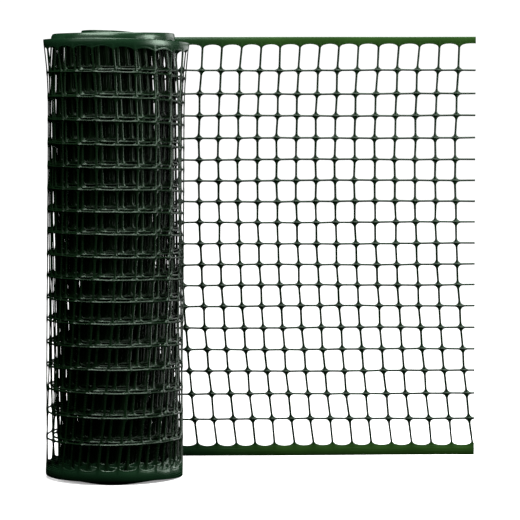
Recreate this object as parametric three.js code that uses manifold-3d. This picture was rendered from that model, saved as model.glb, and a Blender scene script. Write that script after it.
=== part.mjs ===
// A roll of plastic mesh fencing that stands on end, with a length drawn off it to the right.
// Millimetres, +Z up. The roll's axis is upright, and the free length leaves the back of the roll.
import * as THREE from 'three';
import { mergeVertices } from 'three/addons/utils/BufferGeometryUtils.js';
import Module from 'manifold-3d';

const wasm = await Module();
wasm.setup();

// The net as it is made
const FENCE_HEIGHT = 1000;
const TOP_STRIP = 16;
const FOOT_STRIP = 24.5;
const TOP_SCALLOP = 8.5;
const FOOT_SCALLOP = 8;
// Heights of the strands that run along the net, above its lower edge, as the photo shows them
const STRANDS = [86, 146, 201, 253, 305, 357, 407, 456, 506, 557, 607, 657, 707, 758, 811, 863, 919];
const MESH_LENGTH = 46.3;
const END_MESH_LENGTH = 48.1;
const END_MESHES = 6;
const UPRIGHT_WIDTH = 5.2;
const STRAND_WIDTH = 4.6;
const CORNER = 10;
const SHEET_THICKNESS = 3;
const WELD = 1e-4;

// How far the uprights are drawn towards the free end, at the top and at the foot, from their straight middle
const STRAIGHT_HEIGHT = 700;
const TOP_DRAW = 11;
const FOOT_DRAW = 46;
const DRAW_POWER = 2;

// The free length, measured from the line where it leaves the roll
const FREE_REACH = 846.7;
const LAST_UPRIGHT = 799.2;
const CUT_MESHES = 16;
const FREE_FOOT_RISE = 4;
const FREE_TOP_RISE = 1;
const FREE_STRIP_LOSS = 3;
const FREE_WAVE = 3;
const WAVE_LENGTH = 520;
const WAVE_SLANT = 0.9;

// The wound roll
const RELIEF_MESHES = 24;
const RIDGE = 2.5;
const HOLLOW = 0;
const RIDGE_SLOPE = 5;
const PLAIN_STATIONS_PER_TURN = 24;
const LOOSE_UNTIL_TURN = 1;
const TIGHT_FROM_TURN = 2;
const FLARE_HEIGHT = 170;
const PART_GAP = 0.3;
const ARC_STEPS_PER_TURN = 180;

// The stages of the winding, counted in turns from the line where the free length leaves the roll.
// radius is that of the sheet's middle and flare its growth at the top. leanTop and leanFoot shift the turn's
// centre to the right. foot and top are the heights of the sheet's edges, strip the width of its top strip,
// and half is half the thickness of the wall. The rows of strands, if they went on, would end lowPinch under
// the foot and highPinch over the top, so the meshes next to the strips are the shorter for it.
const WINDING_COLUMNS = [
  'turn', 'radius', 'flare', 'leanTop', 'leanFoot', 'foot', 'top', 'strip', 'lowPinch', 'highPinch', 'half',
];
const WINDING_ROWS = [
  [0.0, 156.5, 0, 0, 0, 22.5, 1023.5, 19, -2.5, 1.5, 1.5],
  [0.25, 156.5, 11.5, 5, -5, 7, 1007.5, 17.5, -0.7, 7, 1.5],
  [0.5, 156.5, 9, 3, -3, 7.5, 1001, 18, 2.7, 5.5, 1.5],
  [0.6, 156.3, 9.5, 3.5, -3, 7, 1000, 21.5, 1.5, 5, 1.5],
  [0.75, 155.5, 11, 4.5, -2, 0, 998.5, 16, -5, 1.5, 1.5],
  [1.0, 147.5, 0, 0, 0, 0, 1006, 15, 0, 0, 1.5],
  [1.25, 141, 0, -2, 4, 0, 1018, 16, 0, 0, 1.5],
  [1.5, 139.5, 0, -2, 4, 0, 1015, 16, 0, 0, 1.5],
  [1.75, 138, 0, -2, 6, 0, 1021, 16, 0, 0, 2],
  [2.0, 132, 0, -4, 8, 2, 1018, 14, 0, 0, 3],
  [2.25, 126, 0, -6, 9, 8, 1016, 14, 0, 0, 4],
  [2.5, 122.5, 0, -7, 9, 12, 1015, 14, 0, 0, 4.5],
  [3.5, 110.5, 0, -7, 9, 12, 1015, 14, 0, 0, 4.5],
  [6.0, 80.5, 0, -7, 9, 12, 1017, 14, 0, 0, 4.5],
  [6.25, 77.5, 0, -7, 9, 12, 1028, 14, 0, 0, 4.5],
  [6.5, 74.5, 0, -7, 9, 12, 1025, 14, 0, 0, 4.5],
  [6.75, 71.5, 0, -7, 9, 12, 1018, 14, 0, 0, 4.5],
  [9.5, 38.5, 0, -7, 9, 12, 1014, 14, 0, 0, 4.5],
];
const WINDING = WINDING_ROWS.map((row) =>
  Object.fromEntries(WINDING_COLUMNS.map((name, i) => [name, row[i]])));
const TANGENT_RADIUS = WINDING[0].radius;
const LAST_TURN = WINDING[WINDING.length - 1].turn;

const plastic = (colour, roughness) =>
  new THREE.MeshStandardMaterial({ color: colour, roughness, metalness: 0 });

// Smooth value of one column of the winding table at a turn, through the table's rows
function stage(turn, column) {
  const t = THREE.MathUtils.clamp(turn, 0, LAST_TURN);
  let i = WINDING.findIndex((row) => row.turn >= t);
  i = Math.max(i, 1);
  const rowAt = (k) => WINDING[THREE.MathUtils.clamp(k, 0, WINDING.length - 1)];
  const [before, from, to, after] = [rowAt(i - 2), rowAt(i - 1), rowAt(i), rowAt(i + 1)];
  const span = to.turn - from.turn;
  const slopeFrom = (to[column] - before[column]) / Math.max(to.turn - before.turn, span);
  const slopeTo = (after[column] - from[column]) / Math.max(after.turn - from.turn, span);
  const x = (t - from.turn) / span;
  const eased = x * x * (3 - 2 * x);
  return from[column] + (to[column] - from[column]) * eased
    + span * (slopeFrom * x * (1 - x) * (1 - x) - slopeTo * x * x * (1 - x));
}

// Table of sheet length against turn, going inwards, so that a place on the sheet finds its turn
const ARC = [{ turn: 0, length: 0 }];
for (let i = 1; i <= LAST_TURN * ARC_STEPS_PER_TURN; i += 1) {
  const turn = i / ARC_STEPS_PER_TURN;
  const step = (2 * Math.PI * stage(turn, 'radius')) / ARC_STEPS_PER_TURN;
  ARC.push({ turn, length: ARC[i - 1].length + step });
}

function turnAt(length) {
  const i = THREE.MathUtils.clamp(ARC.findIndex((row) => row.length >= length), 1, ARC.length - 1);
  const part = (length - ARC[i - 1].length) / (ARC[i].length - ARC[i - 1].length);
  return ARC[i - 1].turn + part * (ARC[i].turn - ARC[i - 1].turn);
}

function lengthAt(turn) {
  return ARC[Math.round(turn * ARC_STEPS_PER_TURN)].length;
}

// Heights of the lines between the rows of meshes: each strand, and a line in the scallops of each edge strip
const LINES = [FOOT_STRIP + FOOT_SCALLOP / 2, ...STRANDS, FENCE_HEIGHT - TOP_STRIP - TOP_SCALLOP / 2];
const MESH_ROWS = LINES.length - 1;

// Shift of an upright towards the free end at a height of the sheet
function draw(height) {
  if (height > STRAIGHT_HEIGHT) {
    return TOP_DRAW * ((height - STRAIGHT_HEIGHT) / (FENCE_HEIGHT - STRAIGHT_HEIGHT)) ** DRAW_POWER;
  }
  return FOOT_DRAW * ((STRAIGHT_HEIGHT - height) / STRAIGHT_HEIGHT) ** DRAW_POWER;
}

// Places of the uprights of the free length, from the one at the roll to the last one before the cut
function freeUprights() {
  const uprights = [LAST_UPRIGHT];
  while (uprights.length < CUT_MESHES) {
    const pitch = uprights.length < END_MESHES ? END_MESH_LENGTH : MESH_LENGTH;
    uprights.unshift(uprights[0] - pitch);
  }
  return uprights;
}
const UPRIGHTS = freeUprights();

// The free length begins with a whole upright, and the wound wall ends just short of it
const FREE_START = UPRIGHTS[0] - UPRIGHT_WIDTH / 2;

// Height in space of a height on the sheet: the rows rise evenly, and the strips keep their own widths
function rise(edges, height) {
  const rowsFoot = edges.foot - edges.lowPinch;
  const rowsTop = edges.top + edges.highPinch;
  const rows = (strand) => rowsFoot + (rowsTop - rowsFoot) * (strand / FENCE_HEIGHT);
  const [first, last] = [STRANDS[0], STRANDS[STRANDS.length - 1]];
  const knots = [
    [0, edges.foot], [FOOT_STRIP, edges.foot + FOOT_STRIP], [first, rows(first)],
    [last, rows(last)], [FENCE_HEIGHT - TOP_STRIP, edges.top - edges.strip], [FENCE_HEIGHT, edges.top],
  ];
  const next = THREE.MathUtils.clamp(knots.findIndex(([at]) => at >= height), 1, knots.length - 1);
  const [[fromHeight, from], [toHeight, to]] = [knots[next - 1], knots[next]];
  return from + ((to - from) * (height - fromHeight)) / (toHeight - fromHeight);
}

// A place of the sheet in space: along is positive on the free length and negative in the winding,
// height runs up the sheet, and offset stands off its middle, outwards
function place(along, height, offset) {
  const up = height / FENCE_HEIGHT;
  if (along >= 0) {
    const out = along / FREE_REACH;
    const edges = { ...WINDING[0] };
    edges.foot += FREE_FOOT_RISE * out;
    edges.top += FREE_TOP_RISE * out;
    edges.strip -= FREE_STRIP_LOSS * out;
    const ripple = Math.sin(2 * Math.PI * (along / WAVE_LENGTH + WAVE_SLANT * up));
    return new THREE.Vector3(along, TANGENT_RADIUS + FREE_WAVE * out * ripple + offset, rise(edges, height));
  }
  const turn = turnAt(-along);
  const at = Object.fromEntries(WINDING_COLUMNS.map((name) => [name, stage(turn, name)]));
  at.foot = Math.max(0, at.foot);
  const flared = Math.max(0, 1 - (FENCE_HEIGHT - height) / FLARE_HEIGHT) ** 2;
  const radius = at.radius + at.flare * flared + offset;
  const lean = at.leanFoot + (at.leanTop - at.leanFoot) * up;
  const angle = 2 * Math.PI * turn;
  return new THREE.Vector3(lean - radius * Math.sin(angle), radius * Math.cos(angle), rise(at, height));
}

// A list of triangles that is filled face by face
class Skin {
  constructor() {
    this.points = [];
  }

  triangle(a, b, c) {
    this.points.push(a, b, c);
  }

  quad(a, b, c, d) {
    this.triangle(a, b, c);
    this.triangle(a, c, d);
  }

  // Triangles between two chains of points that run the same way, keyed by their heights
  zip(left, right) {
    let i = 0;
    let j = 0;
    while (i < left.length - 1 || j < right.length - 1) {
      const nextLeft = i < left.length - 1 ? left[i + 1].key : Infinity;
      const nextRight = j < right.length - 1 ? right[j + 1].key : Infinity;
      if (nextLeft <= nextRight) {
        this.triangle(left[i].point, right[j].point, left[i + 1].point);
        i += 1;
      } else {
        this.triangle(left[i].point, right[j].point, right[j + 1].point);
        j += 1;
      }
    }
  }

  geometry() {
    const geometry = new THREE.BufferGeometry().setFromPoints(this.points);
    return mergeVertices(geometry, WELD);
  }
}

// A chain of points up the sheet at one upright, on the outer or the inner face
function chain(station, levels, offset) {
  return levels.map((height) => ({
    key: height,
    point: place(station.along + draw(height) * station.drawn, height, offset),
  }));
}

// One mesh of the wound sheet: four ridges slope down to a hollow floor
function reliefMesh(skin, left, right, low, high) {
  const corner = (station, height, depth) =>
    place(station.along + draw(height), height, depth);
  const inset = (station, towards, height, rise) => {
    const along = station.along + Math.sign(towards.along - station.along) * RIDGE_SLOPE;
    return place(along + draw(height + rise), height + rise, HOLLOW);
  };
  const rim = [
    corner(left, low, RIDGE), corner(right, low, RIDGE),
    corner(right, high, RIDGE), corner(left, high, RIDGE),
  ];
  const floor = [
    inset(left, right, low, RIDGE_SLOPE), inset(right, left, low, RIDGE_SLOPE),
    inset(right, left, high, -RIDGE_SLOPE), inset(left, right, high, -RIDGE_SLOPE),
  ];
  for (let k = 0; k < 4; k += 1) {
    const next = (k + 1) % 4;
    skin.quad(rim[k], rim[next], floor[next], floor[k]);
  }
  skin.quad(floor[0], floor[1], floor[2], floor[3]);
}

// Stations along the wound sheet, from the free length inwards
function windingStations() {
  const stations = [];
  for (let i = 0; i <= RELIEF_MESHES; i += 1) {
    const along = i === 0 ? FREE_START - PART_GAP : UPRIGHTS[0] - i * MESH_LENGTH;
    stations.push({ along, drawn: 1, relief: i < RELIEF_MESHES, meetsFreeLength: i === 0 });
  }
  const lastRelief = turnAt(-stations[RELIEF_MESHES].along);
  const first = Math.ceil(lastRelief * PLAIN_STATIONS_PER_TURN) + 1;
  for (let k = first; k <= LAST_TURN * PLAIN_STATIONS_PER_TURN; k += 1) {
    const turn = k / PLAIN_STATIONS_PER_TURN;
    const eased = (turn - LOOSE_UNTIL_TURN) / (TIGHT_FROM_TURN - LOOSE_UNTIL_TURN);
    const drawn = THREE.MathUtils.clamp(1 - eased, 0, 1);
    stations.push({ along: -lengthAt(turn), drawn, relief: false });
  }
  return stations;
}

const OUTER_LEVELS = [0, ...LINES, FENCE_HEIGHT];
const INNER_LEVELS = [
  0, FOOT_STRIP, STRANDS[0], STRANDS[4], STRANDS[8], STRANDS[12],
  FENCE_HEIGHT - FLARE_HEIGHT, STRANDS[16], FENCE_HEIGHT - TOP_STRIP, FENCE_HEIGHT,
];

// Heights of the points on a plain face: all at the wall's outer end, which meets the free length, and few
// where the wall is straight from foot to top
function plainLevels(station) {
  if (station.meetsFreeLength) {
    return OUTER_LEVELS;
  }
  return station.drawn > 0 ? INNER_LEVELS : [0, FENCE_HEIGHT];
}

// Half the thickness of the wall at a station
function halfWall(station) {
  return station.along >= 0 ? WINDING[0].half : stage(turnAt(-station.along), 'half');
}

// The wound roll is one wall that winds inwards, with the net raised on its outermost turn
function woundRoll() {
  const skin = new Skin();
  const stations = windingStations();
  const outer = stations.map((station, i) => (i <= RELIEF_MESHES
    ? chain(station, OUTER_LEVELS, RIDGE)
    : chain(station, plainLevels(station), halfWall(station))));
  const inner = stations.map((station) => chain(station, plainLevels(station), -halfWall(station)));
  for (let i = 0; i + 1 < stations.length; i += 1) {
    if (stations[i].relief) {
      for (let k = 0; k < MESH_ROWS; k += 1) {
        reliefMesh(skin, stations[i], stations[i + 1], LINES[k], LINES[k + 1]);
      }
      for (const k of [0, OUTER_LEVELS.length - 2]) {
        skin.quad(outer[i][k].point, outer[i + 1][k].point, outer[i + 1][k + 1].point, outer[i][k + 1].point);
      }
    } else {
      skin.zip(outer[i], outer[i + 1]);
    }
    skin.zip(inner[i + 1], inner[i]);
    const rims = [outer[i], outer[i + 1], inner[i + 1], inner[i]];
    skin.quad(...rims.map((rim) => rim[rim.length - 1].point));
    skin.quad(...rims.reverse().map((rim) => rim[0].point));
  }
  skin.zip(inner[0], outer[0]);
  const last = stations.length - 1;
  skin.zip(outer[last], inner[last]);
  return skin.geometry();
}

// A closed mesh whose shared corners are joined, as a solid that can be cut
function solid(geometry) {
  const bare = geometry.clone();
  bare.deleteAttribute('normal');
  bare.deleteAttribute('uv');
  const merged = mergeVertices(bare, WELD);
  const mesh = new wasm.Mesh({
    numProp: 3,
    vertProperties: new Float32Array(merged.attributes.position.array),
    triVerts: new Uint32Array(merged.index.array),
  });
  return new wasm.Manifold(mesh);
}

// A flat piece of sheet with the given outline, in the sheet's own length and height
function sheetPiece(outline, thickness) {
  const extrusion = { depth: thickness, bevelEnabled: false };
  return new THREE.ExtrudeGeometry(new THREE.Shape(outline), extrusion).translate(0, 0, -thickness / 2);
}

// One rounded opening between two uprights and two strands, drawn towards the free end with the uprights
function opening(left, right, row) {
  const low = row === 0 ? FOOT_STRIP : LINES[row] + STRAND_WIDTH / 2;
  const high = row === MESH_ROWS - 1 ? FENCE_HEIGHT - TOP_STRIP : LINES[row + 1] - STRAND_WIDTH / 2;
  const from = left + UPRIGHT_WIDTH / 2;
  const to = right - UPRIGHT_WIDTH / 2;
  const lowCorner = row === 0 ? FOOT_SCALLOP : CORNER;
  const highCorner = row === MESH_ROWS - 1 ? TOP_SCALLOP : CORNER;
  const corners = [
    [from + CORNER, low], [to - CORNER, low], [to, low + lowCorner], [to, high - highCorner],
    [to - CORNER, high], [from + CORNER, high], [from, high - highCorner], [from, low + lowCorner],
  ];
  return corners.map(([along, height]) => new THREE.Vector2(along + draw(height), height));
}

// The free length: a sheet with its openings cut through, the last ones open at the cut end
function freeLength() {
  const start = OUTER_LEVELS.map((height) => new THREE.Vector2(FREE_START + draw(height), height));
  const cutEnd = [new THREE.Vector2(FREE_REACH, 0), new THREE.Vector2(FREE_REACH, FENCE_HEIGHT)];
  const outline = [...start.reverse(), ...cutEnd];
  let sheet = solid(sheetPiece(outline, SHEET_THICKNESS));
  const rights = [...UPRIGHTS.slice(1), FREE_REACH + END_MESH_LENGTH];
  for (let row = 0; row < MESH_ROWS; row += 1) {
    const cutters = UPRIGHTS.map((left, i) =>
      solid(sheetPiece(opening(left, rights[i], row), SHEET_THICKNESS * 2)));
    sheet = sheet.subtract(wasm.Manifold.union(cutters));
  }
  return bentSheet(sheet.getMesh());
}

// The cut sheet with each of its points set in its place in space
function bentSheet(mesh) {
  const points = [];
  for (let i = 0; i < mesh.vertProperties.length; i += mesh.numProp) {
    const [along, height, offset] = mesh.vertProperties.slice(i, i + 3);
    points.push(place(along, height, offset));
  }
  const geometry = new THREE.BufferGeometry().setFromPoints(points);
  // The sheet's own length, height and offset are right-handed the other way round in space
  const index = Array.from(mesh.triVerts);
  for (let i = 0; i < index.length; i += 3) {
    [index[i], index[i + 1]] = [index[i + 1], index[i]];
  }
  geometry.setIndex(index);
  return geometry;
}

function part(name, geometry, material) {
  const mesh = new THREE.Mesh(geometry, material);
  mesh.name = name;
  return mesh;
}

const fence = new THREE.Group();
fence.add(part('wound_roll', woundRoll(), plastic(0x0f2a1a, 0.4)));
fence.add(part('free_length', freeLength(), plastic(0x264d1e, 0.4)));

// The origin is under the middle of the whole part
const box = new THREE.Box3().setFromObject(fence, true);
const middle = box.getCenter(new THREE.Vector3());
fence.position.set(-middle.x, -middle.y, -box.min.z);

export default fence;
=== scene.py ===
"""A roll of plastic mesh fencing that stands on end, with a length drawn off it to the right. Metres."""
import math
from collections import namedtuple

import bmesh
import bpy
import numpy as np
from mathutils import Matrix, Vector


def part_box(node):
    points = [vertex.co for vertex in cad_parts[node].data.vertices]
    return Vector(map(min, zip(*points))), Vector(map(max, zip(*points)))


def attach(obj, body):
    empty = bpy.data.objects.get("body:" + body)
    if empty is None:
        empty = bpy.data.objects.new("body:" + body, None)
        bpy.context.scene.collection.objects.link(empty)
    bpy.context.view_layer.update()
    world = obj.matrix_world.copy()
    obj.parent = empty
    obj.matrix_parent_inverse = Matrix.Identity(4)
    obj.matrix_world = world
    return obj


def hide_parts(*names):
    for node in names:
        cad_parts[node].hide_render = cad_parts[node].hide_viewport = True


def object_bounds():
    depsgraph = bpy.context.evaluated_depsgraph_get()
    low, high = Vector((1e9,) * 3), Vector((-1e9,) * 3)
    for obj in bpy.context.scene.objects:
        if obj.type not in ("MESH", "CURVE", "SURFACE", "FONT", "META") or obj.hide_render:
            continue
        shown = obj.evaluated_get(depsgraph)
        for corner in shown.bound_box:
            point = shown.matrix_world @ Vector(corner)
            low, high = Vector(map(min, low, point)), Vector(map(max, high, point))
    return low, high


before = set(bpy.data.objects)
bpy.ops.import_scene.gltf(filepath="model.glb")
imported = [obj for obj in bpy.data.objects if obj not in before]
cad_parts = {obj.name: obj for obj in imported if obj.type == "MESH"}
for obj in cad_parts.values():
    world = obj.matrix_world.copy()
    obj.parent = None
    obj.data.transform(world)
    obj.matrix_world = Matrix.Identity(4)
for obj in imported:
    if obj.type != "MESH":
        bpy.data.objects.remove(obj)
CAD_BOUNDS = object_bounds()

# The net as it is made
FENCE_HEIGHT = 1.0
TOP_STRIP = 0.016
FOOT_STRIP = 0.0245
TOP_SCALLOP = 0.0085
FOOT_SCALLOP = 0.008
SCALLOP_REACH = 0.020
MESH_LENGTH = 0.0463
END_MESH_LENGTH = 0.0481
END_MESHES = 6
CORNER = 0.0090
UPRIGHT_HALF_WIDTH = 0.0026
INNER_UPRIGHT_HALF_WIDTH = 0.0034
CORE_UPRIGHT_HALF_WIDTH = 0.0058
STRAND_HALF_WIDTH = 0.0023
STRAND_HALF_THICK = 0.0014
JOINT_HALF_THICK = 0.0021
STRIP_HALF_THICK = 0.0012
# The rounded flank of a strand lies this share of the way from its rim to its middle line, and has this
# share of the thickness. Where the middle line is farther from the rim, as in the edge strips, it lies
# this near the rim.
FLANK = 0.42
FLANK_THICK = 0.81
WIDE_GAP = 2 * CORNER * FLANK
STRIP_FLANK = 0.0012
# Stands for the distance from the rims on the outer half of an edge strip, past the reach of any bead
STRIP_REACH = 0.01
SHARP_ANGLE = math.radians(50)
WELD_DIGITS = 6

# Heights of the strands that run along the net, above its lower edge
STRANDS = (
    0.086, 0.146, 0.201, 0.253, 0.305, 0.357, 0.407, 0.456, 0.506,
    0.557, 0.607, 0.657, 0.707, 0.758, 0.811, 0.863, 0.919,
)

# Small waves that shift the net along the sheet and up it: how far in metres, how often along and up
# the sheet in radians a metre, and from which angle. Those up the sheet die out towards its edges.
Wave = namedtuple("Wave", "reach along up start")
WAVES_ALONG = (Wave(0.0006, 31, 57, 0), Wave(0.0005, 88, -23, 1))
WAVES_UP = (Wave(0.0007, 11, 19, 2), Wave(0.0003, 97, 61, 0))
STEADY_MARGIN = 0.04

# How far the uprights are drawn towards the free end, from their straight middle
STRAIGHT_HEIGHT = 0.70
TOP_DRAW = 0.011
FOOT_DRAW = 0.046
DRAW_POWER = 2

# The free length, measured from the line where it leaves the roll
FREE_REACH = 0.8467
LAST_UPRIGHT = 0.7992
FREE_MESHES = 16
FREE_FOOT_RISE = 0.004
FREE_TOP_RISE = 0.001
FREE_STRIP_LOSS = 0.003
FREE_WAVE = 0.003
WAVE_LENGTH = 0.52
WAVE_SLANT = 0.9

ROLL_RADIUS = 0.1565

# The loose turns of the winding, counted from the line where the free length leaves the roll. radius is
# that of the sheet's middle and flare its growth at the top, the leans shift a turn's centre to the
# right, foot and top are the heights of the sheet's edges and strip is the width of its top strip. The
# rows of strands, if they went on, would end low_pinch under the foot and high_pinch over the top.
WINDING_COLUMNS = (
    "turn", "radius", "flare", "lean_top", "lean_foot", "foot", "top", "strip", "low_pinch", "high_pinch",
)
LOOSE_TURNS = (
    (0.00, ROLL_RADIUS, 0.0000, 0.000, 0.000, 0.0225, 1.0235, 0.0190, -0.0025, 0.0015),
    (0.25, ROLL_RADIUS, 0.0115, 0.005, -0.005, 0.0070, 1.0075, 0.0175, -0.0007, 0.0070),
    (0.50, ROLL_RADIUS, 0.0090, 0.003, -0.003, 0.0075, 1.0010, 0.0180, 0.0027, 0.0055),
    (0.60, 0.1563, 0.0095, 0.0035, -0.003, 0.0070, 1.0000, 0.0215, 0.0015, 0.0050),
    (0.75, 0.1555, 0.0110, 0.0045, -0.002, 0.0000, 0.9985, 0.0160, -0.0050, 0.0015),
    (1.00, 0.1520, -0.0040, 0.000, 0.000, 0.0000, 1.0060, 0.0150, -0.0040, 0.0020),
    (1.25, 0.1495, -0.0085, -0.002, 0.003, 0.0080, 1.0180, 0.0160, -0.0010, -0.0030),
    (1.40, 0.1500, -0.0100, -0.002, 0.003, 0.0060, 1.0160, 0.0160, -0.0035, -0.0020),
    (1.50, 0.1500, -0.0105, -0.002, 0.003, 0.0000, 1.0150, 0.0160, -0.0100, -0.0010),
    (1.60, 0.1495, -0.0105, -0.002, 0.003, 0.0060, 1.0170, 0.0160, -0.0035, -0.0030),
    (1.75, 0.1490, -0.0110, -0.002, 0.004, 0.0080, 1.0210, 0.0160, -0.0020, -0.0060),
    (2.00, 0.1480, -0.0120, -0.004, 0.004, 0.0100, 1.0180, 0.0140, -0.0020, -0.0020),
)

# The tight turns inside them: many, close together, and uneven at both edges. A few stand up as a ridge.
# Their pitch, and from some turn on that of the core, is the loss of radius in a turn.
TIGHT_START_TURN = 2.25
TIGHT_START_RADIUS = 0.1465
TIGHT_PITCH = 0.0040
CORE_START_TURN = 17.25
CORE_PITCH = 0.0075
CORE_END_TURN = 23.75
TIGHT_NECK = -0.008
TIGHT_STEP = 0.25
# lean_top and lean_foot by the part of a turn: on the left the tight turns stand well in at the foot
TIGHT_LEANS = {0: (-0.005, 0.005), 0.25: (-0.006, 0.014), 0.5: (-0.005, 0.005), 0.75: (-0.005, 0.005)}
# The edges' heights, how far they swing up and down, and how fast, in radians a turn
TIGHT_FOOT = 0.016
TIGHT_FOOT_UNEVEN = 0.004
TIGHT_FOOT_SWING = 2.3
TIGHT_TOP = 1.0145
TIGHT_TOP_UNEVEN = 0.0015
TIGHT_TOP_SWING = 3.1
TIGHT_HIGH_PINCH = 0.004
# The turns of the ridge with their shares of its rise, and its rise by the part of a turn
RIDGE_TURNS = {18: 1.0, 19: 0.9, 20: 0.65}
RIDGE_RISE = {0: 0, 0.25: 0.0120, 0.5: 0.0090, 0.75: 0.0030}
# The flare of a turn dies out this far below its top
FLARE_HEIGHT = 0.17
ARC_STEP = 1 / 240

# The pieces of the net from the free end inwards, and the turns at which the wound ones but the last
# end. The hidden turns have fewer steps round a corner, fewer flanks, wider uprights and darker, duller
# plastic than the outer ones; the darker tone is painted shade deep in the roll.
Piece = namedtuple("Piece", "name corner_steps rounded upright_half_width outside")
PIECES = (
    Piece("free_net", 4, True, UPRIGHT_HALF_WIDTH, True),
    Piece("outer_turns", 4, True, UPRIGHT_HALF_WIDTH, True),
    Piece("middle_turns", 2, True, INNER_UPRIGHT_HALF_WIDTH, False),
    Piece("inner_turns", 2, True, INNER_UPRIGHT_HALF_WIDTH, False),
    Piece("core_turns", 2, False, CORE_UPRIGHT_HALF_WIDTH, False),
)
PIECE_UNTIL_TURNS = (2.0, 7.6, 14.5)

# The plastic's tones, each from dark to light: of the strands outside, of those in the turns within,
# darker as painted shade deep in the roll, and of the edge strips where the net is flat and where it is
# wound, these darker as painted shade on the roll and near it
STRAND_TONES = ((0.0025, 0.009, 0.003), (0.005, 0.018, 0.006))
SHADED_INNER_STRAND_TONES = ((0.0007, 0.0032, 0.0007), (0.002, 0.0075, 0.002))
FLAT_STRIP_TONES = ((0.020, 0.060, 0.010), (0.028, 0.082, 0.014))
SHADED_WOUND_STRIP_TONES = ((0.005, 0.023, 0.009), (0.008, 0.033, 0.013))
# The strips fade from the wound tones, painted shade of the roll, to the flat ones between these places
# along the free length
ROLL_SHADE_FROM = 0.10
ROLL_SHADE_UNTIL = 0.34
# Scale and detail of the clouds between two tones, and the part of the noise over which they turn
CLOUD_NOISE = (14, 4)
CLOUD_FROM = 0.3
CLOUD_UNTIL = 0.75

# Gloss of the strands outside, of those within and of the edge strips, with its green tint, and the
# roughness from the smooth to the rough draw lines, outside and within
GLOSS = 0.34
INNER_GLOSS = 0.10
STRIP_GLOSS = 0.68
GLOSS_TINT = (0.78, 1.0, 0.82, 1.0)
ROUGHNESS = (0.20, 0.32)
INNER_ROUGHNESS = (0.18, 0.32)
PLASTIC_IOR = 1.5

# Relief too fine for the mesh: a lump at each joint, a ridge along the rows, a bead round the strips'
# openings, and the draw lines
LUMP_HEIGHT = 0.0020
LUMP_UP = 0.0032
LUMP_ALONG = 0.0070
RIDGE_HEIGHT = 0.0007
RIDGE_HALF_WIDTH = 0.0020
BEAD_HEIGHT = 0.00054
BEAD_NEAR = 0.0012
BEAD_FAR = 0.0034
DRAW_LINE_HEIGHT = 0.0001
DRAW_LINE_SCALE = (6, 6, 900)
DRAW_LINE_NOISE = (1, 3)

# The studio: a floor and a surround that the camera sees as white, a wide light overhead and soft panels.
# Azimuths are in degrees round the roll, to the right from the viewer, and lengths in metres.
FLOOR_TONE = 0.88
FLOOR_ROUGHNESS = 0.8
FLOOR_GLOSS = 0.1
FLOOR_GLOW = 0.3
FLOOR_REACH = 30
SURROUND_STRENGTH = 1.1
OVERHEAD_STRENGTH = 4.3
OVERHEAD_ANGLE = 50
Place = namedtuple("Place", "azimuth away height aim_height")
OVERHEAD_PLACE = Place(40, 0.5, 3.0, 0.5)
Softbox = namedtuple("Softbox", "name azimuth away height aim_height wide tall radiance")
SOFTBOXES = (
    Softbox("right_panel", 73, 2.2, 1.35, 1.1, 0.95, 1.20, 9.5),
    Softbox("wide_right_panel", 66, 2.5, 1.30, 1.1, 1.90, 1.30, 0.9),
    Softbox("low_right_panel", 113, 1.1, 0.20, 0.12, 0.90, 0.36, 4.5),
    Softbox("top_panel", -30, 1.0, 1.95, 0.95, 1.30, 0.50, 10.0),
    Softbox("high_left_panel", -42, 2.4, 1.62, 1.6, 2.60, 1.10, 0.60),
    Softbox("back_panel", 140, 2.5, 1.20, 0.7, 1.60, 1.60, 1.6),
)

# The camera, as the photo was taken
CAMERA_AWAY = 4.745
CAMERA_HEIGHT = 0.715
CAMERA_RIGHT = 0.334
CAMERA_PITCH = math.radians(2.59)
LENS = 142.3

FREE_LOW, FREE_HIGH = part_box("free_length")
AXIS_X = FREE_HIGH[0] - FREE_REACH
AXIS_Y = (FREE_LOW[1] + FREE_HIGH[1]) / 2 - ROLL_RADIUS
FLOOR = CAD_BOUNDS[0][2]


def tight_turn(turn):
    """One row of the winding table in the tight turns"""
    radius = TIGHT_START_RADIUS - TIGHT_PITCH * (min(turn, CORE_START_TURN) - TIGHT_START_TURN)
    radius -= CORE_PITCH * max(turn - CORE_START_TURN, 0)
    whole, part = divmod(turn, 1)
    lean_top, lean_foot = TIGHT_LEANS[part]
    ridge = RIDGE_TURNS.get(int(whole), 0) * RIDGE_RISE[part]
    foot = TIGHT_FOOT + TIGHT_FOOT_UNEVEN * math.sin(TIGHT_FOOT_SWING * turn)
    top = TIGHT_TOP + TIGHT_TOP_UNEVEN * math.sin(TIGHT_TOP_SWING * turn) + ridge
    high_pinch = TIGHT_HIGH_PINCH - ridge
    return (turn, radius, TIGHT_NECK, lean_top, lean_foot, foot, top, TOP_STRIP, 0, high_pinch)


def winding_table():
    """The stages of the loose turns, and those of the tight turns inside them, as columns"""
    tight_turns = np.arange(TIGHT_START_TURN, CORE_END_TURN + TIGHT_STEP, TIGHT_STEP)
    rows = [*LOOSE_TURNS, *[tight_turn(float(turn)) for turn in tight_turns]]
    return {name: np.array([row[i] for row in rows]) for i, name in enumerate(WINDING_COLUMNS)}


STAGES = winding_table()


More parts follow.
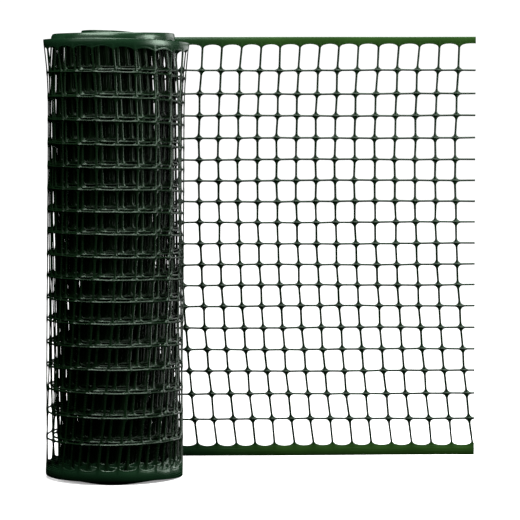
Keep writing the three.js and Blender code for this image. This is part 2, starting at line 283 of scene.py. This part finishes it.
def stage(turn, column):
    """Smooth value of one column of the winding at each turn, through the table's rows"""
    turns = STAGES["turn"]
    values = STAGES[column]
    slopes = np.empty_like(values)
    slopes[1:-1] = (values[2:] - values[:-2]) / (turns[2:] - turns[:-2])
    slopes[0] = (values[1] - values[0]) / (turns[1] - turns[0])
    slopes[-1] = (values[-1] - values[-2]) / (turns[-1] - turns[-2])
    turn = np.clip(turn, turns[0], turns[-1])
    i = np.clip(np.searchsorted(turns, turn, side="right") - 1, 0, len(turns) - 2)
    span = turns[i + 1] - turns[i]
    x = (turn - turns[i]) / span
    smooth = x * x * (3 - 2 * x)
    curve = span * (slopes[i] * x * (1 - x) ** 2 - slopes[i + 1] * x * x * (1 - x))
    return values[i] + (values[i + 1] - values[i]) * smooth + curve


ARC_TURNS = np.arange(0, CORE_END_TURN + ARC_STEP / 2, ARC_STEP)
ARC_LENGTHS = np.concatenate([[0], np.cumsum(2 * math.pi * stage(ARC_TURNS[1:], "radius") * ARC_STEP)])


def length_at(turn):
    """Length of sheet from the line where the free length leaves the roll, inwards to a turn"""
    return float(np.interp(turn, ARC_TURNS, ARC_LENGTHS))


# Heights of the lines between the rows of meshes: each strand, and the middle of each edge strip
LINES = (FOOT_STRIP / 2, *STRANDS, FENCE_HEIGHT - TOP_STRIP / 2)
MESH_ROWS = len(LINES) - 1


def draw(height):
    """Shift of an upright towards the free end at a height of the sheet"""
    above = np.clip((height - STRAIGHT_HEIGHT) / (FENCE_HEIGHT - STRAIGHT_HEIGHT), 0, None)
    below = np.clip((STRAIGHT_HEIGHT - height) / STRAIGHT_HEIGHT, 0, None)
    return TOP_DRAW * above**DRAW_POWER + FOOT_DRAW * below**DRAW_POWER


def all_uprights():
    """Places of the uprights along the sheet, from one past the cut end inwards"""
    places = [LAST_UPRIGHT + END_MESH_LENGTH + CORNER, LAST_UPRIGHT]
    while places[-1] > -length_at(CORE_END_TURN) + MESH_LENGTH:
        pitch = END_MESH_LENGTH if len(places) - 1 < END_MESHES else MESH_LENGTH
        places.append(places[-1] - pitch)
    return places


UPRIGHTS = all_uprights()


def shift(waves, along, height):
    """Sum of some waves at each point of the sheet"""
    return sum(wave.reach * np.sin(wave.along * along + wave.up * height + wave.start) for wave in waves)


def uneven(along, height):
    """Small shifts of the net along the sheet and up it, as an extruded net has"""
    inside = np.clip(np.minimum(height, FENCE_HEIGHT - height) / STEADY_MARGIN, 0, 1)
    return shift(WAVES_ALONG, along, height), shift(WAVES_UP, along, height) * inside


def rise(edges, height):
    """Height in space of a height on the sheet: the rows rise evenly, and the strips keep their widths"""
    rows_foot = edges["foot"] - edges["low_pinch"]
    rows_top = edges["top"] + edges["high_pinch"]
    knots = (
        (0, edges["foot"]), (FOOT_STRIP, edges["foot"] + FOOT_STRIP),
        (STRANDS[0], rows_foot + (rows_top - rows_foot) * STRANDS[0]),
        (STRANDS[-1], rows_foot + (rows_top - rows_foot) * STRANDS[-1]),
        (FENCE_HEIGHT - TOP_STRIP, edges["top"] - edges["strip"]), (FENCE_HEIGHT, edges["top"]),
    )
    level = knots[0][1]
    for (low, from_level), (high, to_level) in zip(knots, knots[1:]):
        level = level + (to_level - from_level) * np.clip((height - low) / (high - low), 0, 1)
    return level


def place(along, height, offset):
    """Points of the sheet in space: along is positive on the free length and negative in the winding"""
    shift_along, shift_up = uneven(along, height)
    along = along + draw(height) + shift_along
    height = height + shift_up
    up = height / FENCE_HEIGHT
    free = np.clip(along, 0, None)
    out = free / FREE_REACH
    turn = np.interp(-along, ARC_LENGTHS, ARC_TURNS)
    edges = {name: stage(turn, name) for name in WINDING_COLUMNS}
    edges["foot"] = np.maximum(edges["foot"], 0) + FREE_FOOT_RISE * out
    edges["top"] = edges["top"] + FREE_TOP_RISE * out
    edges["strip"] = edges["strip"] - FREE_STRIP_LOSS * out
    flared = np.clip(1 - (FENCE_HEIGHT - height) / FLARE_HEIGHT, 0, None) ** 2
    wave = FREE_WAVE * out * np.sin(2 * math.pi * (free / WAVE_LENGTH + WAVE_SLANT * up))
    radius = edges["radius"] + edges["flare"] * flared + offset + wave
    lean = edges["lean_foot"] + (edges["lean_top"] - edges["lean_foot"]) * up
    angle = 2 * math.pi * turn
    x = AXIS_X + lean - radius * np.sin(angle) + free
    y = AXIS_Y + radius * np.cos(angle)
    z = FLOOR + rise(edges, height)
    return np.stack([x, y, z], axis=-1)


# The corners of a mesh in order round it: which side each is on
CORNERS = ((1, 1), (-1, 1), (-1, -1), (1, -1))


def half_thickness(at_strip, on_upright, across):
    """Half the net's thickness at a middle line: across is 1 at a joint and 0 along the strand"""
    joint = STRIP_HALF_THICK if at_strip else JOINT_HALF_THICK
    strand = STRIP_HALF_THICK if at_strip and not on_upright else STRAND_HALF_THICK
    return strand + (joint - strand) * across


def mesh_rings(left, right, row, steps, upright_half_width):
    """Middle lines round one mesh and the rim of its opening, point for point, and half the thickness"""
    low, high = LINES[row], LINES[row + 1]
    rim_low = FOOT_STRIP if row == 0 else low + STRAND_HALF_WIDTH
    rim_high = FENCE_HEIGHT - TOP_STRIP if row == MESH_ROWS - 1 else high - STRAND_HALF_WIDTH
    middle_x, half_x = (left + right) / 2, (right - left) / 2 - upright_half_width
    lines, rims, thick = [], [], []
    for quarter, (side_x, side_y) in enumerate(CORNERS):
        at_strip = (side_y > 0 and row == MESH_ROWS - 1) or (side_y < 0 and row == 0)
        reach = SCALLOP_REACH if at_strip else CORNER
        climb = CORNER
        if at_strip:
            climb = TOP_SCALLOP if side_y > 0 else FOOT_SCALLOP
        centre_x = middle_x + side_x * (half_x - reach)
        centre_y = rim_high - climb if side_y > 0 else rim_low + climb
        edge_x = right if side_x > 0 else left
        edge_y = high if side_y > 0 else low
        for step in range(steps + 1):
            part = step / steps
            turn = (quarter + part) * math.pi / 2
            rims.append((centre_x + reach * math.cos(turn), centre_y + climb * math.sin(turn)))
            across = 2 * part if part <= 0.5 else 2 - 2 * part
            on_upright = (part <= 0.5) == (quarter % 2 == 0)
            if on_upright:
                lines.append((edge_x, centre_y + (edge_y - centre_y) * across))
            else:
                lines.append((centre_x + (edge_x - centre_x) * across, edge_y))
            thick.append(half_thickness(at_strip, on_upright, across))
    return np.array(lines), np.array(rims), np.array(thick)


class Net:
    """Points of the net, as along, height and offset on the sheet, and the faces between them"""

    def __init__(self, steps, rounded, upright_half_width):
        self.steps = steps
        self.rounded = rounded
        self.upright_half_width = upright_half_width
        self.points = []
        self.faces = []
        self.count = 0

    def add(self, points):
        """Adds points and tells the number of the first"""
        self.points.append(np.asarray(points))
        start = self.count
        self.count += len(points)
        return start

    def mesh(self, left, right, row):
        """Four half strands and their corners round one opening"""
        lines, rims, thick = mesh_rings(left, right, row, self.steps, self.upright_half_width)
        gap = np.linalg.norm(lines - rims, axis=1)
        flank = np.where(gap > WIDE_GAP, STRIP_FLANK / gap, FLANK)[:, None]
        flanks = rims + (lines - rims) * flank
        count = len(lines)
        layers = [
            np.column_stack([lines, thick, gap]),
            np.column_stack([flanks, thick * FLANK_THICK, gap * flank[:, 0]]),
            np.column_stack([rims, thick * 0, gap * 0]),
            np.column_stack([flanks, -thick * FLANK_THICK, gap * flank[:, 0]]),
            np.column_stack([lines, -thick, gap]),
        ]
        here = np.arange(count)
        after = (np.arange(count) + 1) % count
        self.skin(layers, here, after)
        return lines

    def skin(self, layers, here, after):
        """Faces from each layer of points to the next, between neighbours along the layers"""
        if not self.rounded:
            layers = layers[::2]
        count = len(layers[0])
        start = self.add(np.concatenate(layers))
        for layer in range(len(layers) - 1):
            a, b = start + here + layer * count, start + after + layer * count
            self.faces.append(np.column_stack([a, b, b + count, a + count]))

    def band(self, line, edge, low):
        """The part of an edge strip outside its middle line, with a rounded edge"""
        count = len(line)
        inner = edge + STRIP_FLANK * (1 if low else -1)
        profile = [
            (line[:, 1], STRIP_HALF_THICK), (inner, STRIP_HALF_THICK * FLANK_THICK), (edge, 0),
            (inner, -STRIP_HALF_THICK * FLANK_THICK), (line[:, 1], -STRIP_HALF_THICK),
        ]
        layers = [
            np.column_stack(np.broadcast_arrays(line[:, 0], height, offset, STRIP_REACH))
            for height, offset in profile
        ]
        here = np.arange(count - 1)
        self.skin(layers, here + 1, here)


def fill_net(net, first, last):
    """The meshes and edge strips between two uprights, counted from the free end"""
    for i in range(first, last):
        left, right = UPRIGHTS[i + 1], UPRIGHTS[i]
        for row in range(MESH_ROWS):
            lines = net.mesh(left, right, row)
            if row == 0:
                foot = lines[np.isclose(lines[:, 1], LINES[0])]
                foot = foot[np.argsort(foot[:, 0])]
                net.band(foot, 0.0, True)
            if row == MESH_ROWS - 1:
                top = lines[np.isclose(lines[:, 1], LINES[-1])]
                top = top[np.argsort(-top[:, 0])]
                net.band(top, FENCE_HEIGHT, False)


def net_object(name, net, first, last, cut=None):
    """One piece of the net, between two uprights counted from the free end"""
    fill_net(net, first, last)
    points = np.concatenate(net.points)
    rounded = np.round(points[:, :3], WELD_DIGITS)
    _, kept, index = np.unique(rounded, axis=0, return_index=True, return_inverse=True)
    along, height, offset, from_rim = points[kept].T
    faces = index.reshape(-1)[np.concatenate(net.faces)]
    mesh = bpy.data.meshes.new(name)
    mesh.from_pydata(place(along, height, offset).tolist(), [], faces.tolist())
    mesh.update()
    add_places(mesh, along, height, from_rim, UPRIGHTS[first:last + 1])
    obj = bpy.data.objects.new(name, mesh)
    bpy.context.scene.collection.objects.link(obj)
    close_ends(obj, cut)
    return obj


def add_places(mesh, along, height, from_rim, uprights):
    """What the material needs at each point: in a strip, in painted shade, and how far from each kind of
    line
    """
    foot_share = (FOOT_STRIP + FOOT_SCALLOP - height) / FOOT_SCALLOP
    top_share = (height - FENCE_HEIGHT + TOP_STRIP + TOP_SCALLOP) / TOP_SCALLOP
    add_attribute(mesh, "strip", np.clip(np.maximum(foot_share, top_share), 0, 1))
    # Share of the strips' painted shade: whole on the roll, fading out along the free length near it
    add_attribute(mesh, "roll_shade", np.clip((ROLL_SHADE_UNTIL - along) / (ROLL_SHADE_UNTIL - ROLL_SHADE_FROM), 0, 1))
    add_attribute(mesh, "from_row", np.abs(height[:, None] - np.array(STRANDS)).min(axis=1))
    add_attribute(mesh, "from_upright", np.abs(along[:, None] - np.array(uprights)).min(axis=1))
    add_attribute(mesh, "from_rim", from_rim)


def add_attribute(mesh, name, values):
    """A number for each point of a mesh, for its material"""
    attribute = mesh.attributes.new(name, "FLOAT", "POINT")
    attribute.data.foreach_set("value", np.asarray(values, dtype=np.float32))


def close_ends(obj, cut):
    """Cuts the piece straight across where it is asked to, and closes the ends of its strands"""
    bm = bmesh.new()
    bm.from_mesh(obj.data)
    if cut is not None:
        geometry = bm.verts[:] + bm.edges[:] + bm.faces[:]
        plane = {"plane_co": (cut, 0, 0), "plane_no": (1, 0, 0)}
        bmesh.ops.bisect_plane(bm, geom=geometry, clear_outer=True, **plane)
    edges = [edge for edge in bm.edges if edge.is_boundary]
    bmesh.ops.holes_fill(bm, edges=edges, sides=0)
    bmesh.ops.recalc_face_normals(bm, faces=bm.faces[:])
    for face in bm.faces:
        face.smooth = True
    bm.to_mesh(obj.data)
    bm.free()
    obj.data.set_sharp_from_angle(angle=SHARP_ANGLE)


class Nodes:
    """A material's nodes, by short calls"""

    def __init__(self, name):
        self.material = bpy.data.materials.new(name)
        self.material.use_nodes = True
        self.tree = self.material.node_tree
        self.shader = self.tree.nodes["Principled BSDF"]

    def link(self, output, target):
        """Joins one node's output to another's input"""
        self.tree.links.new(output, target)

    def attribute(self, name):
        """A number that the mesh keeps for each point"""
        node = self.tree.nodes.new("ShaderNodeAttribute")
        node.attribute_name = name
        return node.outputs["Fac"]

    def math(self, operation, *values):
        """A sum of numbers or of other nodes' outputs"""
        node = self.tree.nodes.new("ShaderNodeMath")
        node.operation = operation
        for socket, value in zip(node.inputs, values):
            if isinstance(value, (int, float)):
                socket.default_value = value
            else:
                self.link(value, socket)
        return node.outputs["Value"]

    def noise(self, where, scale, detail):
        """Noise at a place"""
        node = self.tree.nodes.new("ShaderNodeTexNoise")
        node.inputs["Scale"].default_value = scale
        node.inputs["Detail"].default_value = detail
        self.link(where, node.inputs["Vector"])
        return node.outputs["Fac"]

    def ramp(self, value, dark, light):
        """Soft clouds between two close tones"""
        node = self.tree.nodes.new("ShaderNodeValToRGB")
        node.color_ramp.elements[0].position = CLOUD_FROM
        node.color_ramp.elements[0].color = (*dark, 1)
        node.color_ramp.elements[1].position = CLOUD_UNTIL
        node.color_ramp.elements[1].color = (*light, 1)
        self.link(value, node.inputs["Fac"])
        return node.outputs["Color"]

    def blend(self, share, first, second):
        """A mix of two colours, the second by the given share"""
        node = self.tree.nodes.new("ShaderNodeMix")
        node.data_type = "RGBA"
        self.link(share, node.inputs["Factor"])
        self.link(first, node.inputs["A"])
        self.link(second, node.inputs["B"])
        return node.outputs["Result"]

    def fall(self, value, near, far):
        """1 up to a near distance, smoothly down to 0 at a far one"""
        node = self.tree.nodes.new("ShaderNodeMapRange")
        node.interpolation_type = "SMOOTHSTEP"
        node.inputs["From Min"].default_value = near
        node.inputs["From Max"].default_value = far
        node.inputs["To Min"].default_value = 1
        node.inputs["To Max"].default_value = 0
        self.link(value, node.inputs["Value"])
        return node.outputs["Result"]


def green_plastic(name, strand_tones, roughness, gloss):
    """Extruded polyethylene: dark green, glossy, with fine draw lines, and greener in the edge strips"""
    nodes = Nodes(name)
    nodes.shader.inputs["IOR"].default_value = PLASTIC_IOR
    nodes.shader.inputs["Specular Tint"].default_value = GLOSS_TINT
    where = nodes.tree.nodes.new("ShaderNodeTexCoord").outputs["Object"]
    stretch = nodes.tree.nodes.new("ShaderNodeMapping")
    stretch.inputs["Scale"].default_value = DRAW_LINE_SCALE
    nodes.link(where, stretch.inputs["Vector"])
    drawn = nodes.noise(stretch.outputs["Vector"], *DRAW_LINE_NOISE)
    cloud = nodes.noise(where, *CLOUD_NOISE)
    strip = nodes.attribute("strip")
    strands, flat_strip, shaded_wound_strip = [
        nodes.ramp(cloud, *tones) for tones in (strand_tones, FLAT_STRIP_TONES, SHADED_WOUND_STRIP_TONES)
    ]
    # The edge strips take the darker wound tones on the roll, fading to the flat ones near it: painted
    # shade
    strips = nodes.blend(nodes.attribute("roll_shade"), flat_strip, shaded_wound_strip)
    nodes.link(nodes.blend(strip, strands, strips), nodes.shader.inputs["Base Color"])
    smooth, coarse = roughness
    rough = nodes.math("MULTIPLY_ADD", drawn, coarse - smooth, smooth)
    nodes.link(rough, nodes.shader.inputs["Roughness"])
    shine = nodes.math("MULTIPLY_ADD", strip, STRIP_GLOSS - gloss, gloss)
    nodes.link(shine, nodes.shader.inputs["Specular IOR Level"])
    bump = nodes.tree.nodes.new("ShaderNodeBump")
    bump.inputs["Distance"].default_value = 1
    nodes.link(relief(nodes, drawn, strip), bump.inputs["Height"])
    nodes.link(bump.outputs["Normal"], nodes.shader.inputs["Normal"])
    return nodes.material


def relief(nodes, drawn, strip):
    """Height of the fine relief in metres: joints, rows, the strips' beads and draw lines"""
    from_row = nodes.attribute("from_row")
    from_upright = nodes.attribute("from_upright")
    lump = nodes.math("MULTIPLY", nodes.fall(from_row, 0, LUMP_UP), nodes.fall(from_upright, 0, LUMP_ALONG))
    ridge = nodes.fall(from_row, 0, RIDGE_HALF_WIDTH)
    bead = nodes.math("MULTIPLY", strip, nodes.fall(nodes.attribute("from_rim"), BEAD_NEAR, BEAD_FAR))
    height = nodes.math("MULTIPLY", drawn, DRAW_LINE_HEIGHT)
    for part, part_height in ((lump, LUMP_HEIGHT), (ridge, RIDGE_HEIGHT), (bead, BEAD_HEIGHT)):
        height = nodes.math("MULTIPLY_ADD", part, part_height, height)
    return height


def pale_floor():
    """A plain pale floor to stand on"""
    material = bpy.data.materials.new("pale_floor")
    material.use_nodes = True
    shader = material.node_tree.nodes["Principled BSDF"]
    shader.inputs["Base Color"].default_value = (FLOOR_TONE, FLOOR_TONE, FLOOR_TONE, 1)
    shader.inputs["Roughness"].default_value = FLOOR_ROUGHNESS
    shader.inputs["Specular IOR Level"].default_value = FLOOR_GLOSS
    shader.inputs["Emission Color"].default_value = (1, 1, 1, 1)
    shader.inputs["Emission Strength"].default_value = FLOOR_GLOW
    mesh = bpy.data.meshes.new("floor")
    corners = [(-1, -1), (1, -1), (1, 1), (-1, 1)]
    mesh.from_pydata([(x * FLOOR_REACH, y * FLOOR_REACH, FLOOR) for x, y in corners], [], [(0, 1, 2, 3)])
    mesh.materials.append(material)
    floor = bpy.data.objects.new("floor", mesh)
    bpy.context.scene.collection.objects.link(floor)
    floor.visible_diffuse = False
    floor.visible_glossy = False


def surround():
    """A plain white surround that is seen but lights nothing: the panels do that"""
    world = bpy.data.worlds.new("studio")
    world.use_nodes = True
    seen = world.node_tree.nodes["Background"]
    seen.inputs["Color"].default_value = (1, 1, 1, 1)
    seen.inputs["Strength"].default_value = SURROUND_STRENGTH
    bpy.context.scene.world = world
    world.cycles_visibility.diffuse = False
    world.cycles_visibility.glossy = False


def hang(name, light, azimuth, away, height, aim_height):
    """A light at an azimuth round the roll, counted to the right from the viewer, that faces the roll"""
    turn = math.radians(azimuth)
    obj = bpy.data.objects.new(name, light)
    obj.location = (AXIS_X + away * math.sin(turn), AXIS_Y - away * math.cos(turn), FLOOR + height)
    drop = math.atan2(away, height - aim_height)
    obj.rotation_euler = (drop, 0, turn)
    obj.visible_camera = False
    bpy.context.scene.collection.objects.link(obj)


def softbox(name, azimuth, away, height, aim_height, wide, tall, radiance):
    """An upright soft panel of light"""
    light = bpy.data.lights.new(name, "AREA")
    light.shape = "RECTANGLE"
    light.size = wide
    light.size_y = tall
    light.energy = radiance * math.pi * wide * tall
    hang(name, light, azimuth, away, height, aim_height)


def studio():
    """The plain floor, the lights and a pale surround"""
    pale_floor()
    surround()
    overhead = bpy.data.lights.new("overhead", "SUN")
    overhead.energy = OVERHEAD_STRENGTH
    overhead.angle = math.radians(OVERHEAD_ANGLE)
    hang("overhead", overhead, *OVERHEAD_PLACE)
    for panel in SOFTBOXES:
        softbox(*panel)
    bpy.context.scene.view_settings.view_transform = "Standard"


def camera():
    """The camera at the photo's angle"""
    data = bpy.data.cameras.new("camera")
    data.lens = LENS
    obj = bpy.data.objects.new("camera", data)
    obj.location = (AXIS_X + CAMERA_RIGHT, AXIS_Y - CAMERA_AWAY, FLOOR + CAMERA_HEIGHT)
    obj.rotation_euler = (math.pi / 2 - CAMERA_PITCH, 0, 0)
    bpy.context.scene.collection.objects.link(obj)
    bpy.context.scene.camera = obj


def upright_at(turn):
    """The upright nearest to a turn of the winding"""
    return int(np.argmin([abs(place_along + length_at(turn)) for place_along in UPRIGHTS]))


def net_pieces():
    """The net, in pieces from the free end inwards"""
    outer = green_plastic("green_plastic", STRAND_TONES, ROUGHNESS, GLOSS)
    # A darker, duller copy of the plastic for the hidden turns: painted shade deep in the roll
    inner = green_plastic("shaded_dull_plastic", SHADED_INNER_STRAND_TONES, INNER_ROUGHNESS, INNER_GLOSS)
    ends = [0, FREE_MESHES, *[upright_at(turn) for turn in PIECE_UNTIL_TURNS], len(UPRIGHTS) - 1]
    pieces = []
    for kind, first, last in zip(PIECES, ends, ends[1:]):
        cut = FREE_HIGH[0] if first == 0 else None
        net = Net(kind.corner_steps, kind.rounded, kind.upright_half_width)
        piece = net_object(kind.name, net, first, last, cut)
        piece.data.materials.append(outer if kind.outside else inner)
        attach(piece, "root")
        pieces.append(piece)
    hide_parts("free_length")
    for piece in pieces[1:]:
        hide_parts("wound_roll")


net_pieces()
studio()
camera()
